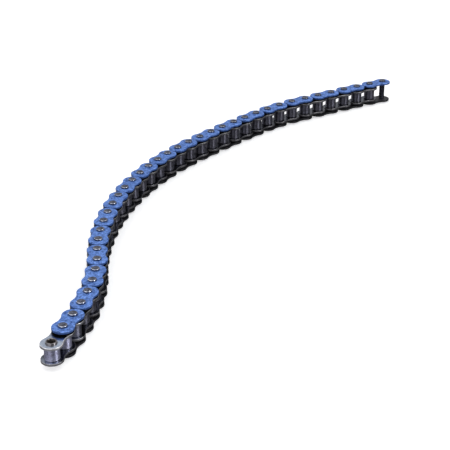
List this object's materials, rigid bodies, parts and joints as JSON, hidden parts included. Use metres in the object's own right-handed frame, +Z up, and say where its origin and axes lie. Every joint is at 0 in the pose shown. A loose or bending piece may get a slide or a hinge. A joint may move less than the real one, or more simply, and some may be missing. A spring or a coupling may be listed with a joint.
{
  "type": "roller chain",
  "caption": "Sealed roller chain with blue outer plates and bright inner plates, lying on its side in a gentle curve, one end free.",
  "frame": {"origin": "under the middle of the chain's plan box, on the surface that the lower pin ends rest on", "axes": "+Z up along the pins, +Y the longer way across the plan from the free inner link towards the far outer link, +X to its right"},
  "size_m": [0.2804, 0.5144, 0.0222],
  "materials": {
    "outer_plate": "satin blue",
    "inner_plate": "bright plated",
    "pin": "ground steel",
    "bush": "dark hardened steel",
    "roller": "turned steel",
    "seal": "greased black rubber"
  },
  "bodies": {
    "link_01": {"link_01_inner_upper_plate": "inner_plate", "link_01_inner_lower_plate": "inner_plate", "link_01_inner_first_bush": "bush", "link_01_inner_second_bush": "bush", "link_01_inner_second_upper_seal": "seal", "link_01_inner_second_lower_seal": "seal"},
    "link_02": {"link_02_outer_upper_plate": "outer_plate", "link_02_outer_lower_plate": "outer_plate", "link_02_outer_first_pin": "pin", "link_02_outer_second_pin": "pin"},
    "link_03": {"link_03_inner_upper_plate": "inner_plate", "link_03_inner_lower_plate": "inner_plate", "link_03_inner_first_bush": "bush", "link_03_inner_second_bush": "bush", "link_03_inner_first_upper_seal": "seal", "link_03_inner_first_lower_seal": "seal", "link_03_inner_second_upper_seal": "seal", "link_03_inner_second_lower_seal": "seal"},
    "link_04": {"link_04_outer_upper_plate": "outer_plate", "link_04_outer_lower_plate": "outer_plate", "link_04_outer_first_pin": "pin", "link_04_outer_second_pin": "pin"},
    "link_05": {"link_05_inner": "inner_plate"},
    "link_06": {"link_06_outer": "outer_plate"},
    "link_07": {"link_07_inner": "inner_plate"},
    "link_08": {"link_08_outer": "outer_plate"},
    "link_09": {"link_09_inner": "inner_plate"},
    "link_10": {"link_10_outer": "outer_plate"},
    "link_11": {"link_11_inner": "inner_plate"},
    "link_12": {"link_12_outer": "outer_plate"},
    "link_13": {"link_13_inner": "inner_plate"},
    "link_14": {"link_14_outer": "outer_plate"},
    "link_15": {"link_15_inner": "inner_plate"},
    "link_16": {"link_16_outer": "outer_plate"},
    "link_17": {"link_17_inner": "inner_plate"},
    "link_18": {"link_18_outer": "outer_plate"},
    "link_19": {"link_19_inner": "inner_plate"},
    "link_20": {"link_20_outer": "outer_plate"},
    "link_21": {"link_21_inner": "inner_plate"},
    "link_22": {"link_22_outer": "outer_plate"},
    "link_23": {"link_23_inner": "inner_plate"},
    "link_24": {"link_24_outer": "outer_plate"},
    "link_25": {"link_25_inner": "inner_plate"},
    "link_26": {"link_26_outer": "outer_plate"},
    "link_27": {"link_27_inner": "inner_plate"},
    "link_28": {"link_28_outer": "outer_plate"},
    "link_29": {"link_29_inner": "inner_plate"},
    "link_30": {"link_30_outer": "outer_plate"},
    "link_31": {"link_31_inner": "inner_plate"},
    "link_32": {"link_32_outer": "outer_plate"},
    "link_33": {"link_33_inner": "inner_plate"},
    "link_34": {"link_34_outer": "outer_plate"},
    "link_35": {"link_35_inner": "inner_plate"},
    "link_36": {"link_36_outer": "outer_plate"},
    "link_37": {"link_37_inner": "inner_plate"},
    "link_38": {"link_38_outer": "outer_plate"},
    "roller_01_first": {"link_01_inner_first_roller": "roller"},
    "roller_01_second": {"link_01_inner_second_roller": "roller"},
    "roller_03_first": {"link_03_inner_first_roller": "roller"},
    "roller_03_second": {"link_03_inner_second_roller": "roller"}
  },
  "joints": [
    {"name": "pivot_01_02", "type": "hinge", "parent": "link_02", "child": "link_01", "pos_m": [-0.12728, -0.23486, 0.01111], "axis": [0, 0, -1], "range_deg": [-103.7, 96.3]},
    {"name": "pivot_02_03", "type": "hinge", "parent": "link_03", "child": "link_02", "pos_m": [-0.12267, -0.21967, 0.01111], "axis": [0, 0, 1], "range_deg": [-96.3, 103.7]},
    {"name": "pivot_03_04", "type": "hinge", "parent": "link_04", "child": "link_03", "pos_m": [-0.11904, -0.20422, 0.01111], "axis": [0, 0, -1], "range_deg": [-103.7, 96.3]},
    {"name": "pivot_04_05", "type": "hinge", "parent": "link_05", "child": "link_04", "pos_m": [-0.11642, -0.18856, 0.01111], "axis": [0, 0, 1], "range_deg": [-96.3, 103.7]},
    {"name": "pivot_05_06", "type": "hinge", "parent": "link_06", "child": "link_05", "pos_m": [-0.11482, -0.17276, 0.01111], "axis": [0, 0, -1], "range_deg": [-103.7, 96.3]},
    {"name": "pivot_06_07", "type": "hinge", "parent": "link_07", "child": "link_06", "pos_m": [-0.11424, -0.1569, 0.01111], "axis": [0, 0, 1], "range_deg": [-96.3, 103.7]},
    {"name": "pivot_07_08", "type": "hinge", "parent": "link_08", "child": "link_07", "pos_m": [-0.11468, -0.14103, 0.01111], "axis": [0, 0, -1], "range_deg": [-103.7, 96.3]},
    {"name": "pivot_08_09", "type": "hinge", "parent": "link_09", "child": "link_08", "pos_m": [-0.11614, -0.12522, 0.01111], "axis": [0, 0, 1], "range_deg": [-102.83, 97.17]},
    {"name": "pivot_09_10", "type": "hinge", "parent": "link_10", "child": "link_09", "pos_m": [-0.11683, -0.10936, 0.01111], "axis": [0, 0, -1], "range_deg": [-97.17, 102.83]},
    {"name": "pivot_10_11", "type": "hinge", "parent": "link_11", "child": "link_10", "pos_m": [-0.11673, -0.09349, 0.01111], "axis": [0, 0, 1], "range_deg": [-102.83, 97.17]},
    {"name": "pivot_11_12", "type": "hinge", "parent": "link_12", "child": "link_11", "pos_m": [-0.11585, -0.07764, 0.01111], "axis": [0, 0, -1], "range_deg": [-97.17, 102.83]},
    {"name": "pivot_12_13", "type": "hinge", "parent": "link_13", "child": "link_12", "pos_m": [-0.11418, -0.06185, 0.01111], "axis": [0, 0, 1], "range_deg": [-102.83, 97.17]},
    {"name": "pivot_13_14", "type": "hinge", "parent": "link_14", "child": "link_13", "pos_m": [-0.11174, -0.04616, 0.01111], "axis": [0, 0, -1], "range_deg": [-97.17, 102.83]},
    {"name": "pivot_14_15", "type": "hinge", "parent": "link_15", "child": "link_14", "pos_m": [-0.10852, -0.03062, 0.01111], "axis": [0, 0, 1], "range_deg": [-102.83, 97.17]},
    {"name": "pivot_15_16", "type": "hinge", "parent": "link_16", "child": "link_15", "pos_m": [-0.10455, -0.01525, 0.01111], "axis": [0, 0, -1], "range_deg": [-97.17, 102.83]},
    {"name": "pivot_16_17", "type": "hinge", "parent": "link_17", "child": "link_16", "pos_m": [-0.09982, -0.0001, 0.01111], "axis": [0, 0, 1], "range_deg": [-102.83, 97.17]},
    {"name": "pivot_17_18", "type": "hinge", "parent": "link_18", "child": "link_17", "pos_m": [-0.09434, 0.01481, 0.01111], "axis": [0, 0, -1], "range_deg": [-97.17, 102.83]},
    {"name": "pivot_18_19", "type": "hinge", "parent": "link_19", "child": "link_18", "pos_m": [-0.08814, 0.02942, 0.01111], "axis": [0, 0, 1], "range_deg": [-102.83, 97.17]},
    {"name": "pivot_19_20", "type": "hinge", "parent": "link_20", "child": "link_19", "pos_m": [-0.08122, 0.04371, 0.01111], "axis": [0, 0, -1], "range_deg": [-97.17, 102.83]},
    {"name": "pivot_20_21", "type": "hinge", "parent": "link_20", "child": "link_21", "pos_m": [-0.07361, 0.05764, 0.01111], "axis": [0, 0, -1], "range_deg": [-102.83, 97.17]},
    {"name": "pivot_21_22", "type": "hinge", "parent": "link_21", "child": "link_22", "pos_m": [-0.06532, 0.07117, 0.01111], "axis": [0, 0, 1], "range_deg": [-97.17, 102.83]},
    {"name": "pivot_22_23", "type": "hinge", "parent": "link_22", "child": "link_23", "pos_m": [-0.05637, 0.08428, 0.01111], "axis": [0, 0, -1], "range_deg": [-102.83, 97.17]},
    {"name": "pivot_23_24", "type": "hinge", "parent": "link_23", "child": "link_24", "pos_m": [-0.04678, 0.09694, 0.01111], "axis": [0, 0, 1], "range_deg": [-99, 101]},
    {"name": "pivot_24_25", "type": "hinge", "parent": "link_24", "child": "link_25", "pos_m": [-0.03697, 0.10942, 0.01111], "axis": [0, 0, -1], "range_deg": [-101, 99]},
    {"name": "pivot_25_26", "type": "hinge", "parent": "link_25", "child": "link_26", "pos_m": [-0.02695, 0.12173, 0.01111], "axis": [0, 0, 1], "range_deg": [-99, 101]},
    {"name": "pivot_26_27", "type": "hinge", "parent": "link_26", "child": "link_27", "pos_m": [-0.01671, 0.13387, 0.01111], "axis": [0, 0, -1], "range_deg": [-101, 99]},
    {"name": "pivot_27_28", "type": "hinge", "parent": "link_27", "child": "link_28", "pos_m": [-0.00627, 0.14582, 0.01111], "axis": [0, 0, 1], "range_deg": [-99, 101]},
    {"name": "pivot_28_29", "type": "hinge", "parent": "link_28", "child": "link_29", "pos_m": [0.00439, 0.15759, 0.01111], "axis": [0, 0, -1], "range_deg": [-101, 99]},
    {"name": "pivot_29_30", "type": "hinge", "parent": "link_29", "child": "link_30", "pos_m": [0.01524, 0.16917, 0.01111], "axis": [0, 0, 1], "range_deg": [-95.9, 104.1]},
    {"name": "pivot_30_31", "type": "hinge", "parent": "link_30", "child": "link_31", "pos_m": [0.0269, 0.17995, 0.01111], "axis": [0, 0, -1], "range_deg": [-104.1, 95.9]},
    {"name": "pivot_31_32", "type": "hinge", "parent": "link_31", "child": "link_32", "pos_m": [0.0393, 0.18986, 0.01111], "axis": [0, 0, 1], "range_deg": [-95.9, 104.1]},
    {"name": "pivot_32_33", "type": "hinge", "parent": "link_32", "child": "link_33", "pos_m": [0.05237, 0.19887, 0.01111], "axis": [0, 0, -1], "range_deg": [-100.6, 99.4]},
    {"name": "pivot_33_34", "type": "hinge", "parent": "link_33", "child": "link_34", "pos_m": [0.06554, 0.20773, 0.01111], "axis": [0, 0, 1], "range_deg": [-99.4, 100.6]},
    {"name": "pivot_34_35", "type": "hinge", "parent": "link_34", "child": "link_35", "pos_m": [0.0788, 0.21646, 0.01111], "axis": [0, 0, -1], "range_deg": [-100.6, 99.4]},
    {"name": "pivot_35_36", "type": "hinge", "parent": "link_35", "child": "link_36", "pos_m": [0.09215, 0.22505, 0.01111], "axis": [0, 0, 1], "range_deg": [-99.4, 100.6]},
    {"name": "pivot_36_37", "type": "hinge", "parent": "link_36", "child": "link_37", "pos_m": [0.10559, 0.2335, 0.01111], "axis": [0, 0, -1], "range_deg": [-100.6, 99.4]},
    {"name": "pivot_37_38", "type": "hinge", "parent": "link_37", "child": "link_38", "pos_m": [0.11912, 0.2418, 0.01111], "axis": [0, 0, 1], "range_deg": [-99.4, 100.6]},
    {"name": "roller_spin_01_first", "type": "hinge", "parent": "link_01", "child": "roller_01_first", "pos_m": [-0.13287, -0.24972, 0.01111], "axis": [0, 0, 1], "continuous": true},
    {"name": "roller_spin_01_second", "type": "hinge", "parent": "link_01", "child": "roller_01_second", "pos_m": [-0.12728, -0.23486, 0.01111], "axis": [0, 0, 1], "continuous": true},
    {"name": "roller_spin_03_first", "type": "hinge", "parent": "link_03", "child": "roller_03_first", "pos_m": [-0.12267, -0.21967, 0.01111], "axis": [0, 0, 1], "continuous": true},
    {"name": "roller_spin_03_second", "type": "hinge", "parent": "link_03", "child": "roller_03_second", "pos_m": [-0.11904, -0.20422, 0.01111], "axis": [0, 0, 1], "continuous": true}
  ]
}
